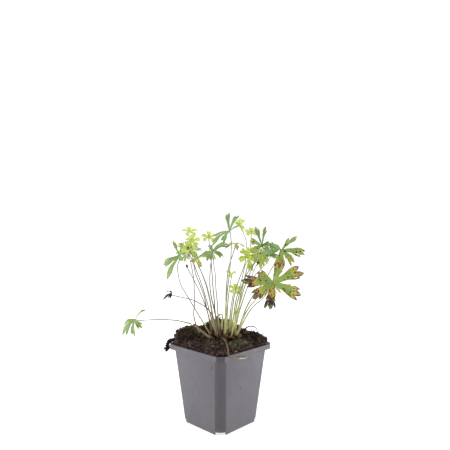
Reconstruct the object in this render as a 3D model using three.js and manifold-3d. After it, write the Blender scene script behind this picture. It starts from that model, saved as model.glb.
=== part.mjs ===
// Potted cranesbill: a young hardy geranium in a square nine-centimetre nursery pot.
// Millimetres, +Z up. The origin is the centre of the pot's underside, on the surface it stands on.
import * as THREE from 'three';
import { mergeVertices } from 'three/addons/utils/BufferGeometryUtils.js';
import Module from 'manifold-3d';

const wasm = await Module();
wasm.setup();

// ---- driving dimensions -------------------------------------------------------------------
const POT_HEIGHT = 91;
const RIM_WIDTH = 90;            // across the flats of the rim
const RIM_DEPTH = 5.5;           // height of the rim's skirt
const RIM_CORNER = 6.5;          // leg of the rim's cut corner
const TOP_WIDTH = 83;            // body just under the rim
const FOOT_WIDTH = 65.5;         // body at the surface
const BODY_CORNER = 8.8;         // leg of the body's cut corner
const CORNER_BULGE = 1.6;        // how far the corner strip swells
const WALL = 1.2;
const FLOOR_TOP = 4.4;           // inside face of the pot's floor
const FLOOR_UNDER = 3;           // underside of the floor, raised off the surface
const FOOT_NOTCH = 3;            // height of the cut at each corner of the foot
const GATE_RADIUS = 6;           // round moulding pad under the middle of the floor
const DRAIN_RADIUS = 4;
const DRAIN_RING = 20;           // drain holes' distance from the middle, along and across
const SIDE_DRAIN_RADIUS = 2.8;   // the small drain holes between them
const SIDE_DRAIN_RING = 15;
const GAP = 0.3;                 // clearance between neighbouring pieces

const SOIL_EDGE = POT_HEIGHT + 0.8;
const CROWN_LEVEL = 98;          // the soil is level under the crown at this height
const CROWN_SPOT = [5, 1];
const CROWN_RADIUS = 20;
const SOCKET_REACH = 24;         // stalks that start nearer than this to the crown are set in it

const BLADE = 0.8;               // thickness of a leaf solid
const STALK = 0.75;              // radius of a leaf stalk
const STALK_SIDES = 6;
const STALK_STEPS = 9;

// The plant is turned against the pot: its x runs from one corner of the pot to the other.
const PLANT_TURN = THREE.MathUtils.degToRad(44);

const finish = {
  pot: new THREE.MeshStandardMaterial({ color: 0x56545a, roughness: 0.5, metalness: 0 }),
  soil: new THREE.MeshStandardMaterial({ color: 0x2b1c16, roughness: 0.95, metalness: 0 }),
  crown: new THREE.MeshStandardMaterial({ color: 0x8a6f47, roughness: 0.85, metalness: 0 }),
  stalk: new THREE.MeshStandardMaterial({ color: 0xb9c37e, roughness: 0.6, metalness: 0 }),
  darkStalk: new THREE.MeshStandardMaterial({ color: 0x5d4a52, roughness: 0.6, metalness: 0 }),
  leaf: new THREE.MeshStandardMaterial({ color: 0x6f9a3f, roughness: 0.6, metalness: 0 }),
  youngLeaf: new THREE.MeshStandardMaterial({ color: 0xb4cf4e, roughness: 0.6, metalness: 0 }),
  witheredLeaf: new THREE.MeshStandardMaterial({ color: 0x4a2f24, roughness: 0.8, metalness: 0 }),
};

const vec = (p) => new THREE.Vector3(...p);

// ---- solids --------------------------------------------------------------------------------
function geometryOf(points, faces) {
  const geometry = new THREE.BufferGeometry();
  geometry.setAttribute('position', new THREE.Float32BufferAttribute(points.flat(), 3));
  geometry.setIndex(faces.flat());
  return geometry;
}

function solidOf(geometry) {
  const bare = geometry.clone();
  bare.deleteAttribute('normal');
  bare.deleteAttribute('uv');
  const merged = mergeVertices(bare, 1e-4);
  return new wasm.Manifold(new wasm.Mesh({
    numProp: 3,
    vertProperties: new Float32Array(merged.attributes.position.array),
    triVerts: new Uint32Array(merged.index.array),
  }));
}

function geometryFrom(solid) {
  const mesh = solid.getMesh();
  const geometry = new THREE.BufferGeometry();
  geometry.setAttribute('position', new THREE.BufferAttribute(mesh.vertProperties, 3));
  geometry.setIndex(new THREE.BufferAttribute(mesh.triVerts, 1));
  return geometry;
}

// Closed solid through a stack of outlines that all have the same number of points.
function loft(rings) {
  const count = rings[0].length;
  const points = rings.flat();
  const faces = [];
  for (let level = 0; level + 1 < rings.length; level += 1) {
    for (let i = 0; i < count; i += 1) {
      const j = (i + 1) % count;
      const low = level * count;
      const high = low + count;
      faces.push([low + i, low + j, high + j], [low + i, high + j, high + i]);
    }
  }
  const top = (rings.length - 1) * count;
  for (let i = 1; i + 1 < count; i += 1) {
    faces.push([0, i + 1, i], [top, top + i, top + i + 1]);
  }
  return geometryOf(points, faces);
}

// ---- pot -----------------------------------------------------------------------------------
// Square with cut corners; each corner strip swells outwards a little, like a shallow arc.
function potOutline(width, corner, bulge, z, inset = 0) {
  const half = width / 2 - inset;
  const leg = Math.max(corner - inset * 0.6, 1);
  const points = [];
  for (let side = 0; side < 4; side += 1) {
    const turn = (side * Math.PI) / 2;
    for (const t of [0, 0.25, 0.5, 0.75, 1]) {
      const x = half - leg * t;
      const y = half - leg * (1 - t);
      const out = bulge * 4 * t * (1 - t) * Math.SQRT1_2;
      const swell = [x + out, y + out];
      points.push([
        swell[0] * Math.cos(turn) - swell[1] * Math.sin(turn),
        swell[0] * Math.sin(turn) + swell[1] * Math.cos(turn),
        z,
      ]);
    }
  }
  return points;
}

function bodyWidthAt(z) {
  return FOOT_WIDTH + ((TOP_WIDTH - FOOT_WIDTH) * z) / (POT_HEIGHT - RIM_DEPTH);
}

function bodyOutline(z, inset = 0) {
  return potOutline(bodyWidthAt(z), BODY_CORNER, CORNER_BULGE, z, inset);
}

function block(width, depth, height, [x, y, z]) {
  return new THREE.BoxGeometry(width, depth, height).translate(x, y, z);
}

function drainHole(radius, x, y) {
  const hole = new THREE.CylinderGeometry(radius, radius, 12, 16);
  return hole.rotateX(Math.PI / 2).translate(x, y, FLOOR_UNDER);
}

function potGeometry() {
  const rimTop = POT_HEIGHT - WALL;
  const body = solidOf(loft([bodyOutline(0), bodyOutline(POT_HEIGHT)]));
  const rimBase = POT_HEIGHT - RIM_DEPTH;
  const rim = solidOf(loft([rimBase, POT_HEIGHT].map((z) => potOutline(RIM_WIDTH, RIM_CORNER, 0.6, z))));
  const channel = solidOf(loft([rimBase - 1, rimTop].map(
    (z) => potOutline(RIM_WIDTH, RIM_CORNER, 0.6, z, WALL))));
  const cavity = solidOf(loft([bodyOutline(FLOOR_TOP, WALL), bodyOutline(POT_HEIGHT + 1, WALL)]));
  const underFloor = solidOf(loft([bodyOutline(-1, WALL), bodyOutline(FLOOR_UNDER, WALL)]));
  const gate = solidOf(new THREE.CylinderGeometry(GATE_RADIUS, GATE_RADIUS, FLOOR_UNDER + 0.5, 24)
    .rotateX(Math.PI / 2).translate(0, 0, (FLOOR_UNDER + 0.5) / 2));
  let pot = rim.subtract(channel).add(body).subtract(cavity).subtract(underFloor).add(gate);
  for (const [sx, sy] of [[1, 1], [-1, 1], [-1, -1], [1, -1]]) {
    const corner = FOOT_WIDTH / 2;
    const notch = block(2 * BODY_CORNER, 2 * BODY_CORNER, 2 * FOOT_NOTCH, [sx * corner, sy * corner, 0]);
    pot = pot.subtract(solidOf(notch));
    pot = pot.subtract(solidOf(drainHole(DRAIN_RADIUS, sx * DRAIN_RING, sy * DRAIN_RING)));
  }
  for (const [sx, sy] of [[1, 0], [0, 1], [-1, 0], [0, -1]]) {
    pot = pot.subtract(solidOf(drainHole(SIDE_DRAIN_RADIUS, sx * SIDE_DRAIN_RING, sy * SIDE_DRAIN_RING)));
  }
  return geometryFrom(pot);
}

// ---- soil ----------------------------------------------------------------------------------
// Heaps in the plant's own frame: centre, height over the edge, spread.
const HEAPS = [
  { at: [-46, 8], rise: 17, spread: 8 },
  { at: [-32, 10], rise: 9, spread: 9 },
  { at: [-12, 27], rise: 19, spread: 9 },
  { at: [6, 30], rise: 16, spread: 11 },
  { at: [27, 24], rise: 22, spread: 11 },
  { at: [43, 6], rise: 8, spread: 9 },
  { at: [-8, 48], rise: 6, spread: 9 },
  { at: [2, -22], rise: 3, spread: 16 },
];

function soilHeight(x, y) {
  // the same point in the plant's frame
  const px = x * Math.cos(PLANT_TURN) + y * Math.sin(PLANT_TURN);
  const py = -x * Math.sin(PLANT_TURN) + y * Math.cos(PLANT_TURN);
  let height = SOIL_EDGE;
  for (const heap of HEAPS) {
    const away = Math.hypot(px - heap.at[0], py - heap.at[1]);
    height += heap.rise * Math.exp(-((away / heap.spread) ** 2) / 2);
  }
  const fromCrown = Math.hypot((px - CROWN_SPOT[0]) * 0.8, (py - CROWN_SPOT[1]) * 1.1);
  const level = THREE.MathUtils.smoothstep(fromCrown, CROWN_RADIUS * 0.8, CROWN_RADIUS * 1.3);
  return THREE.MathUtils.lerp(CROWN_LEVEL, height, level);
}

function soilGeometry() {
  const inset = WALL + GAP;
  const rings = [
    bodyOutline(FLOOR_TOP + GAP, inset),
    bodyOutline(POT_HEIGHT + GAP, inset),
    bodyOutline(POT_HEIGHT + GAP, inset - 2.5),
  ];
  const edge = bodyOutline(POT_HEIGHT + GAP, inset - 2);
  for (const scale of [1, 0.93, 0.85, 0.76, 0.66, 0.55, 0.43, 0.3, 0.16]) {
    rings.push(edge.map(([x, y]) => [x * scale, y * scale, soilHeight(x * scale, y * scale)]));
  }
  return loft(rings);
}

// ---- stalks --------------------------------------------------------------------------------
function stalkSection(radius) {
  const section = new THREE.Shape();
  for (let i = 0; i < STALK_SIDES; i += 1) {
    const angle = (i * 2 * Math.PI) / STALK_SIDES;
    const place = [radius * Math.cos(angle), radius * Math.sin(angle)];
    if (i === 0) section.moveTo(...place);
    else section.lineTo(...place);
  }
  section.closePath();
  return section;
}

function stalkGeometry(points, radius = STALK, steps = STALK_STEPS) {
  const path = new THREE.CatmullRomCurve3(points.map(vec));
  return new THREE.ExtrudeGeometry(stalkSection(radius), { steps, bevelEnabled: false, extrudePath: path });
}

// ---- leaves --------------------------------------------------------------------------------
const LOBE_WIDEST = 0.6;         // how far along a lobe its widest place is
const LOBE_ROOM = 0.88;          // how much of the angle between two lobes they may fill
const OPEN_TURN = 1.9;           // a wider angle than this between lobes is a gap in the leaf
const OPEN_WEB = 0.4;            // share of the web left across such a gap
const RIDGE_RISE = 0.12;         // how far a lobe's ridge stands up, as a share of its width
const SHORT_LOBE_SHARE = 0.6;    // how closely a lobe's width follows its own length

// The angle from one lobe round to the next.
function turnBetween(lobe, next) {
  const turn = next.angle - lobe.angle;
  return turn > 0 ? turn : turn + 2 * Math.PI;
}

// A palmate leaf: lobes run from the hub to their tips, and webs join neighbouring lobes.
// face is the way the upper side looks; tips are measured from the hub, and a fourth number
// makes that lobe narrower or wider than the others.
function leafGeometry({ hub, face, tips, wide = 0.3, arch = 0.1, web = 0.26 }) {
  const up = vec(face).normalize();
  const east = new THREE.Vector3(0.31, 0.17, 0.93).cross(up).normalize();
  const north = up.clone().cross(east);
  const lobes = tips.map(([x, y, z, width = 1]) => {
    const reach = vec([x, y, z]);
    const [right, ahead] = [reach.dot(east), reach.dot(north)];
    return { reach, width, flat: Math.hypot(right, ahead), angle: Math.atan2(ahead, right) };
  });
  const longest = Math.max(...lobes.map((lobe) => lobe.reach.length()));
  lobes.sort((a, b) => a.angle - b.angle);
  const outline = [];
  const ridges = [];
  lobes.forEach((lobe, i) => {
    const next = lobes[(i + 1) % lobes.length];
    const previous = lobes[(i + lobes.length - 1) % lobes.length];
    const { reach, width, flat } = lobe;
    const turn = turnBetween(lobe, next);
    const side = up.clone().cross(reach).normalize();
    const size = THREE.MathUtils.lerp(longest, reach.length(), SHORT_LOBE_SHARE);
    const full = 0.5 * wide * width * size;
    const [right, left] = [turnBetween(previous, lobe), turn].map((angle) => {
      const room = LOBE_ROOM * Math.tan(Math.min(angle, OPEN_TURN) / 2);
      return Math.min(full, LOBE_WIDEST * flat * room);
    });
    const crest = up.clone().multiplyScalar(reach.length() * arch);
    const wideSpot = reach.clone().multiplyScalar(LOBE_WIDEST).add(crest);
    ridges.push(wideSpot.clone().addScaledVector(up, (left + right) * RIDGE_RISE));
    outline.push(wideSpot.clone().addScaledVector(side, -right));
    outline.push(reach.clone());
    outline.push(wideSpot.clone().addScaledVector(side, left));
    const open = turn > OPEN_TURN ? OPEN_WEB : 1;
    const middle = lobe.angle + turn / 2;
    const radius = web * open * Math.min(flat, next.flat);
    outline.push(east.clone().multiplyScalar(Math.cos(middle) * radius)
      .addScaledVector(north, Math.sin(middle) * radius));
  });
  const count = outline.length;
  const centre = vec(hub);
  const top = [new THREE.Vector3(), ...ridges, ...outline].map((p) => p.add(centre));
  const low = top.map((p) => p.clone().addScaledVector(up, -BLADE));
  const faces = [];
  const total = top.length;
  const rim = (i) => 1 + lobes.length + ((i + count) % count);
  const sheet = [];
  lobes.forEach((lobe, i) => {
    const ridge = 1 + i;
    const start = 4 * i;
    sheet.push([0, rim(start - 1), ridge]);
    sheet.push([ridge, rim(start - 1), rim(start)]);
    sheet.push([ridge, rim(start), rim(start + 1)]);
    sheet.push([ridge, rim(start + 1), rim(start + 2)]);
    sheet.push([ridge, rim(start + 2), rim(start + 3)]);
    sheet.push([0, ridge, rim(start + 3)]);
  });
  for (const [a, b, c] of sheet) {
    faces.push([a, b, c], [total + a, total + c, total + b]);
  }
  for (let i = 0; i < count; i += 1) {
    const a = rim(i);
    const b = rim(i + 1);
    faces.push([a, total + a, total + b], [a, total + b, b]);
  }
  return geometryOf([...top, ...low].map((p) => p.toArray()), faces);
}

// Tips of an even palmate leaf: lead is the way its longest lobe points.
function evenTips({ face, lead, reach, lobes = 5, spread = 260, droop = 0 }) {
  const up = vec(face).normalize();
  const ahead = vec(lead).addScaledVector(up, -vec(lead).dot(up)).normalize();
  const across = ahead.clone().cross(up);
  const tips = [];
  for (let i = 0; i < lobes; i += 1) {
    const share = i / (lobes - 1) - 0.5;
    const angle = THREE.MathUtils.degToRad(share * spread);
    const length = reach * (1 - 0.9 * share * share);
    tips.push(ahead.clone().multiplyScalar(Math.cos(angle) * length)
      .addScaledVector(across, Math.sin(angle) * length)
      .addScaledVector(up, -droop * length).toArray());
  }
  return tips;
}

// ---- the plant's leaves, in its own frame ----------------------------------------------------
// foot is where the stalk leaves the crown or the soil, via are points along the stalk.
const LEAVES = [
  {
    name: 'blotched', foot: [19, -3, 101], via: [[37, -8, 134], [49, -12, 146], [59, -15, 159]],
    hub: [61, -25, 166], face: [-0.15, -0.93, 0.33], wide: 0.36,
    tips: [[10, 4, 24], [34, -2, 14], [31, -8, -15], [-6, -7, -31], [-25, -4, -18], [-35, 1, 1],
      [-19, 3, 13]],
  },
  {
    name: 'right_upper', foot: [20, 1, 101], via: [[33, -1, 138], [54, 3, 167], [67, 3, 190]],
    hub: [72, -5, 202], face: [0.2, -0.75, 0.6], wide: 0.34,
    tips: [[11, 5, 14, 0.6], [20, -2, 19, 0.7], [28, -7, -4], [13, -10, -17], [-6, -9, -22, 1.1],
      [-10, 2, 6]],
  },
  {
    name: 'rounded', foot: [16, -1, 101], via: [[27, -1, 143], [37, -5, 167], [54, -8, 187]],
    hub: [59, -15, 197], face: [0.1, -0.9, 0.35], wide: 0.6, arch: 0.2,
    tips: [[-9, 0, 11], [1, 3, 16], [9, 2, 10], [8, -3, -2], [-8, -4, 0]],
  },
  {
    name: 'spray', foot: [16, 3, 101], via: [[21, 3, 142], [32, -2, 175], [45, -3, 194]],
    hub: [50, 0, 207], face: [-0.3, -0.75, 0.55], wide: 0.4,
    tips: [[-7, 4, 24, 0.45], [5, 2, 23, 0.45], [11, -1, 2], [-15, -5, 7], [-12, -8, -7]],
  },
  {
    name: 'yellowing', foot: [13, -4, 101], via: [[23, -5, 140], [33, -9, 172], [43, -10, 192]],
    hub: [46, -20, 199], face: [0.05, -0.85, 0.5], wide: 0.55,
    tips: [[-12, 1, 5], [-11, -3, -7], [0, -6, -17], [9, -4, -11], [9, -1, 1]],
  },
  {
    name: 'bright_mid', foot: [13, 5, 101], via: [[19, 6, 141], [25, 6, 163], [30, 8, 183]],
    hub: [34, 11, 193], face: [-0.1, -0.8, 0.6], wide: 0.56, finish: 'youngLeaf',
    tips: [[2, 5, 12], [-10, 4, 9], [-12, -1, -5], [3, -8, -17, 0.7], [12, -4, -7], [11, 1, 2]],
  },
  {
    name: 'young_top', foot: [11, 1.5, 101], via: [[18, 15, 150], [31, 24, 188], [32, 25, 212]],
    hub: [25, 22, 229], face: [-0.5, -0.5, 0.7], wide: 0.6, arch: 0.2, finish: 'youngLeaf',
    tips: [[-6, 3, 8], [0, 5, 12], [7, 2, 9], [5, -3, -2], [-5, -5, 1]],
  },
  {
    name: 'pale_back', foot: [17, 6.5, 101], via: [[26, 19, 150], [37, 33, 195]],
    hub: [39, 38, 222], face: [0, -0.6, 0.8], finish: 'youngLeaf',
    even: { lead: [0, 1, 0.6], reach: 11, lobes: 5 }, wide: 0.6,
  },
  {
    name: 'top', foot: [5, -4, 101], via: [[7, -8, 140], [12, -19, 190], [13, -24, 213]],
    hub: [11, -25, 225], face: [-0.35, -0.45, 0.82], wide: 0.32, arch: 0.08,
    tips: [[-2, 7, 22, 0.6], [10, 3, 19, 0.7], [11, -6, 6, 0.6], [-19, 3, -7, 0.8], [-22, -8, -16],
      [-8, -14, -14, 0.8]],
  },
  {
    name: 'level_mid', foot: [8, -2, 101], via: [[7, -3, 150], [10, -8, 182], [17, -12, 204]],
    hub: [18, -13, 210], face: [0, -0.2, 1], wide: 0.34,
    even: { lead: [-1, -0.6, 0], reach: 15, lobes: 5, droop: 0.25 },
  },
  {
    name: 'left_mid', foot: [0, -5, 101], via: [[-9, -8, 141], [-12, -12, 162], [-11, -17, 185]],
    hub: [-9, -21, 202], face: [-0.1, -0.5, 0.85], wide: 0.46, dark: true,
    tips: [[-12, -3, -7], [-5, -12, -11], [12, -7, -7, 0.8], [19, 4, 8, 1.1], [-3, 10, 7, 0.7]],
  },
  {
    name: 'pale_left', foot: [-4, 3, 101], via: [[-9, 9, 158], [-12, 20, 190]],
    hub: [-15, 30, 216], face: [0, -0.7, 0.7], finish: 'youngLeaf', dark: true, wide: 0.5,
    even: { lead: [0, 0.6, 0.8], reach: 12, lobes: 5 },
  },
  {
    name: 'left_high', foot: [-7, 0, 101], via: [[-14, 8, 147], [-20, 12, 166], [-37, 25, 206]],
    hub: [-40, 28, 223], face: [0.1, -0.5, 0.85], finish: 'youngLeaf', wide: 0.5,
    even: { lead: [1, 0.5, 0.2], reach: 13, lobes: 5 },
  },
  {
    name: 'left_bright', foot: [-9, 3, 101], via: [[-22, 4, 154], [-30, 9, 172], [-34, 13, 195]],
    hub: [-35, 10, 212], face: [0, -0.7, 0.7], finish: 'youngLeaf', wide: 0.6,
    even: { lead: [1, 0.2, 0.3], reach: 12, lobes: 5 },
  },
  {
    name: 'left_spotted', foot: [-25, 2, 103],
    via: [[-28, 2, 110], [-31.5, 2, 120], [-31, 2, 142], [-32, 1, 168], [-36, 1, 190]],
    hub: [-39, 0, 203], face: [0, -0.65, 0.75], finish: 'youngLeaf', wide: 0.6,
    tips: [[-13, 2, 5], [-8, -8, -6], [5, -8, -6], [13, 1, 2], [0, 8, 10]],
  },
  {
    name: 'left_brown', foot: [-5, -4.5, 101], via: [[-13, -5, 149], [-18, -6, 167], [-25, -7, 184]],
    hub: [-26, -10, 194], face: [-0.1, -0.8, 0.6], wide: 0.5,
    tips: [[-8, -1, 6], [-7, -5, -6], [3, -7, -12, 0.7], [11, -1, 3]],
  },
  {
    name: 'left_outer', foot: [-11, -4, 101], via: [[-36, -7, 144], [-46, -9, 162], [-50, -10, 184]],
    hub: [-47, -14, 196], face: [-0.5, -0.7, 0.5], wide: 0.34, arch: 0.05,
    tips: [[-20, 4, -12, 1.1], [-15, -6, -27, 0.8], [4, -7, -5], [4, 6, 17, 0.4], [-9, 10, 19, 0.4]],
  },
  {
    name: 'far_left', foot: [-34.5, -2.5, 114.8],
    via: [[-44, -3, 117.2], [-57, -3, 119.3], [-78, -4, 120.2]],
    hub: [-100, -5, 120], face: [-0.62, -0.3, 0.72], wide: 0.4, arch: 0.12,
    tips: [[12, 7, 11, 0.8], [9, -9, -9], [1, -9, -20, 0.8], [-9, -4, -20, 0.8], [-20, -2, -18, 0.8],
      [-17, 8, -9]],
  },
  {
    name: 'small_upper', foot: [7, 5.5, 101], via: [[10, 24, 145]],
    hub: [14, 38, 169], face: [0, -0.6, 0.8], finish: 'youngLeaf', wide: 0.6,
    even: { lead: [-0.6, 0.4, 0.5], reach: 10, lobes: 3, spread: 200 },
  },
  {
    name: 'small_lower', foot: [9.5, 8.5, 101], via: [[13, 20, 130]],
    hub: [17, 30, 151], face: [0.1, -0.6, 0.8], finish: 'youngLeaf', wide: 0.6,
    even: { lead: [1, 0.2, 0], reach: 12, lobes: 5 },
  },
  {
    name: 'withered', foot: [-3, -7.5, 101],
    via: [[-7, -12, 121], [-14, -14, 134], [-30, -14, 144], [-46, -12, 148]],
    hub: [-57, -11, 152], face: [0.5, -0.3, 0.8], finish: 'witheredLeaf', wide: 0.5, arch: 0.15,
    tips: [[-10, -2, -7], [-6, 5, 2], [-3, -7, -5]],
  },
  {
    name: 'back_right_low', foot: [20, 4.5, 101], via: [[32, 16, 126], [50, 27, 146]],
    hub: [60, 31, 157], face: [0.5, 0.5, 0.8], wide: 0.4,
    even: { lead: [0.7, 0.8, -0.3], reach: 22, lobes: 7, spread: 290, droop: 0.2 },
  },
  {
    name: 'back_right_high', foot: [13.5, 9, 101], via: [[29, 24, 142], [46, 39, 182]],
    hub: [54, 47, 197], face: [0.2, 0.45, 0.85], wide: 0.4,
    even: { lead: [0.3, 1, -0.2], reach: 21, lobes: 7, spread: 290, droop: 0.15 },
  },
  {
    name: 'back_left_high', foot: [-7, 6, 101], via: [[-18, 20, 142], [-34, 37, 182]],
    hub: [-42, 46, 198], face: [-0.3, 0.5, 0.8], wide: 0.4,
    even: { lead: [-0.4, 1, -0.2], reach: 21, lobes: 7, spread: 290, droop: 0.15 },
  },
  {
    name: 'back_mid', foot: [-1, 7, 101], via: [[-5, 22, 146], [-8, 36, 178]],
    hub: [-11, 44, 195], face: [0, 0.5, 0.85], wide: 0.4,
    even: { lead: [0.1, 1, -0.1], reach: 17, lobes: 5, spread: 250, droop: 0.1 },
  },
  {
    name: 'back_trailing', foot: [3, 10, 101], via: [[2, 29, 118], [-2, 50, 114]],
    hub: [-6, 69, 97], face: [0, 0.85, 0.55], wide: 0.4,
    even: { lead: [-0.1, 0.5, -1], reach: 23, lobes: 7, spread: 200, droop: 0.1 },
  },
];

const plant = new THREE.Group();
plant.rotation.z = PLANT_TURN;

const stalkSolids = [];

// The stalk stops just under the leaf: its end cap clears the underside at any slant.
function stalkPoints(leaf) {
  const up = vec(leaf.face).normalize();
  const hub = vec(leaf.hub);
  const last = vec(leaf.via[leaf.via.length - 1]);
  const along = hub.clone().sub(last).normalize();
  const slant = Math.sqrt(Math.max(0, 1 - along.dot(up) ** 2));
  const end = hub.clone().addScaledVector(up, -(BLADE + GAP + STALK * slant + 0.1));
  return [leaf.foot, ...leaf.via, end.toArray()];
}

for (const leaf of LEAVES) {
  const tips = leaf.tips ?? evenTips({ face: leaf.face, ...leaf.even });
  const stalk = stalkGeometry(stalkPoints(leaf));
  const stem = new THREE.Mesh(stalk, leaf.dark ? finish.darkStalk : finish.stalk);
  stem.name = `${leaf.name}_stem`;
  plant.add(stem);
  const blade = new THREE.Mesh(leafGeometry({ ...leaf, tips }), finish[leaf.finish ?? 'leaf']);
  blade.name = `${leaf.name}_leaf`;
  plant.add(blade);
  stalkSolids.push({ points: stalkPoints(leaf), radius: STALK });
}

// ---- other shoots and dead pieces -----------------------------------------------------------
const SHOOTS = [
  {
    name: 'bud_stalk', radius: STALK, steps: 9, dark: true,
    points: [[-10, -1, 101], [-15, -2, 128], [-26, -6, 157], [-33, -8, 171], [-39, -10, 183]],
  },
  {
    name: 'young_shoot', radius: 1.1, steps: 4,
    points: [[2, 1, 101], [2.5, 3, 112], [2, 5, 125]],
  },
  {
    name: 'dead_runner', radius: 1.2, steps: 8,
    points: [[-31.3, -2.3, 113.2], [-24, -4, 108], [-17, -7, 103], [-11, -10, 99.8]],
  },
  {
    name: 'dry_stalk', radius: 0.7, steps: 14,
    points: [[3, -14, 101], [7, -24, 97.5], [9, -42, 94.4], [9.5, -55, 92.7],
      [12.5, -53.2, 90.6], [18, -48, 87], [24, -42, 85.5], [30, -36.2, 84.5]],
  },
];
for (const shoot of SHOOTS) {
  const mesh = new THREE.Mesh(stalkGeometry(shoot.points, shoot.radius, shoot.steps),
    shoot.dark ? finish.darkStalk : finish.stalk);
  mesh.name = shoot.name;
  plant.add(mesh);
  stalkSolids.push(shoot);
}

// ---- crown: low knobs of rootstock with a socket for each stalk --------------------------------
const KNOBS = [
  { at: CROWN_SPOT, size: [17, 11, 6] },
  { at: [-6, 1], size: [9, 8.5, 6.5] },
  { at: [16, 2], size: [8.5, 9.5, 6.5] },
];

function knobGeometry({ at, size }) {
  const ball = new THREE.SphereGeometry(1, 20, 10).rotateX(Math.PI / 2);
  return ball.scale(...size).translate(at[0], at[1], CROWN_LEVEL + GAP);
}

function crownGeometry() {
  let crown = solidOf(knobGeometry(KNOBS[0]));
  for (const knob of KNOBS.slice(1)) crown = crown.add(solidOf(knobGeometry(knob)));
  const under = 20;
  const below = block(80, 80, under, [...CROWN_SPOT, CROWN_LEVEL + GAP - under / 2]);
  crown = crown.subtract(solidOf(below));
  const ground = soilGeometry().rotateZ(-PLANT_TURN).translate(0, 0, GAP);
  crown = crown.subtract(solidOf(ground));
  for (const { points, radius } of stalkSolids) {
    const away = Math.hypot(points[0][0] - CROWN_SPOT[0], points[0][1] - CROWN_SPOT[1]);
    if (away < SOCKET_REACH) crown = crown.subtract(solidOf(stalkGeometry(points, radius + GAP + 0.1)));
  }
  return geometryFrom(crown);
}

const crown = new THREE.Mesh(crownGeometry(), finish.crown);
crown.name = 'crown';
plant.add(crown);

// ---- the whole part --------------------------------------------------------------------------
const part = new THREE.Group();
const pot = new THREE.Mesh(potGeometry(), finish.pot);
pot.name = 'pot';
const soil = new THREE.Mesh(soilGeometry(), finish.soil);
soil.name = 'soil';
part.add(pot, soil, plant);

export default part;
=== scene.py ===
import math
import random
from collections import Counter

import bmesh
import bpy
from mathutils import Matrix, Vector, noise
from mathutils.bvhtree import BVHTree
from mathutils.geometry import delaunay_2d_cdt
from mathutils.kdtree import KDTree


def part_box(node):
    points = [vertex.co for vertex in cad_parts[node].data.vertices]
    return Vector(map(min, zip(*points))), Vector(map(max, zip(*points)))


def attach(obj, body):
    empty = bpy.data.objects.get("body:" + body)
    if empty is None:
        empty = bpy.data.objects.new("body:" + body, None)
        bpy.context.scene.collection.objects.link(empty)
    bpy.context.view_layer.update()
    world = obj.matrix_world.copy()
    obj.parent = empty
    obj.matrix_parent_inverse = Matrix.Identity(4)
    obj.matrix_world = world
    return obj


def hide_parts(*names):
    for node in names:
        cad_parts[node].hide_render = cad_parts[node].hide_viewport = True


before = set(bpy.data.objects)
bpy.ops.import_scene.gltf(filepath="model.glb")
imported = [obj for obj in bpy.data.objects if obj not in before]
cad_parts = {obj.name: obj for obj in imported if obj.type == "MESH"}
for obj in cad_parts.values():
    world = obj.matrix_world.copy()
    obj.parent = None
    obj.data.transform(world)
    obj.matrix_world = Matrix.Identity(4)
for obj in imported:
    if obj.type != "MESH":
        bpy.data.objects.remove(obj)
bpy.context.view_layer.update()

MM = 0.001
NOISE_SEED = 1
UP = Vector((0, 0, 1))

# ---- camera: level, at the height of the foliage, on the pot's front corner -------------------
VIEW_AZIMUTH = math.radians(44.16)
VIEW_DISTANCE = 0.5474
VIEW_HEIGHT = 0.2323
VIEW_ASIDE = 0.0056
LENS = 36.66
BACK = Vector((math.sin(VIEW_AZIMUTH), -math.cos(VIEW_AZIMUTH), 0))
RIGHT = Vector((math.cos(VIEW_AZIMUTH), math.sin(VIEW_AZIMUTH), 0))


# Without a seed, noise_vector starts from the clock and every run sways the stalks differently.
noise.seed_set(NOISE_SEED)


def seen(right, away, z):
    """A place given in millimetres as the viewer sees it: rightwards, away and up."""
    return (RIGHT * right - BACK * away + UP * z) * MM


def make_camera():
    data = bpy.data.cameras.new("camera")
    data.lens = LENS
    data.clip_start = 0.01
    camera = bpy.data.objects.new("camera", data)
    camera.location = BACK * VIEW_DISTANCE + RIGHT * VIEW_ASIDE + UP * VIEW_HEIGHT
    camera.rotation_euler = BACK.to_track_quat("Z", "Y").to_euler()
    bpy.context.scene.collection.objects.link(camera)
    bpy.context.scene.camera = camera


# ---- reading the CAD solids --------------------------------------------------------------------
def welded(node):
    """A node's separate points, and for each the set of points it shares an edge with."""
    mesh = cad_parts[node].data
    index = {}
    points = []
    place = []
    for vertex in mesh.vertices:
        key = tuple(round(c / (0.01 * MM)) for c in vertex.co)
        if key not in index:
            index[key] = len(points)
            points.append(vertex.co.copy())
        place.append(index[key])
    links = [set() for _ in points]
    for edge in mesh.edges:
        a, b = (place[v] for v in edge.vertices)
        if a != b:
            links[a].add(b)
            links[b].add(a)
    return points, links


def centreline(node):
    """The middle of each ring of a CAD tube, from its lower end."""
    points, links = welded(node)
    first = min(range(len(points)), key=lambda i: points[i].z)
    sides = 6
    ring = sorted(range(len(points)), key=lambda i: (points[i] - points[first]).length)[:sides]
    seen = set(ring)
    line = []
    while ring:
        line.append(sum((points[i] for i in ring), Vector()) / len(ring))
        ring = sorted({j for i in ring for j in links[i]} - seen)
        seen.update(ring)
    return line


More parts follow.
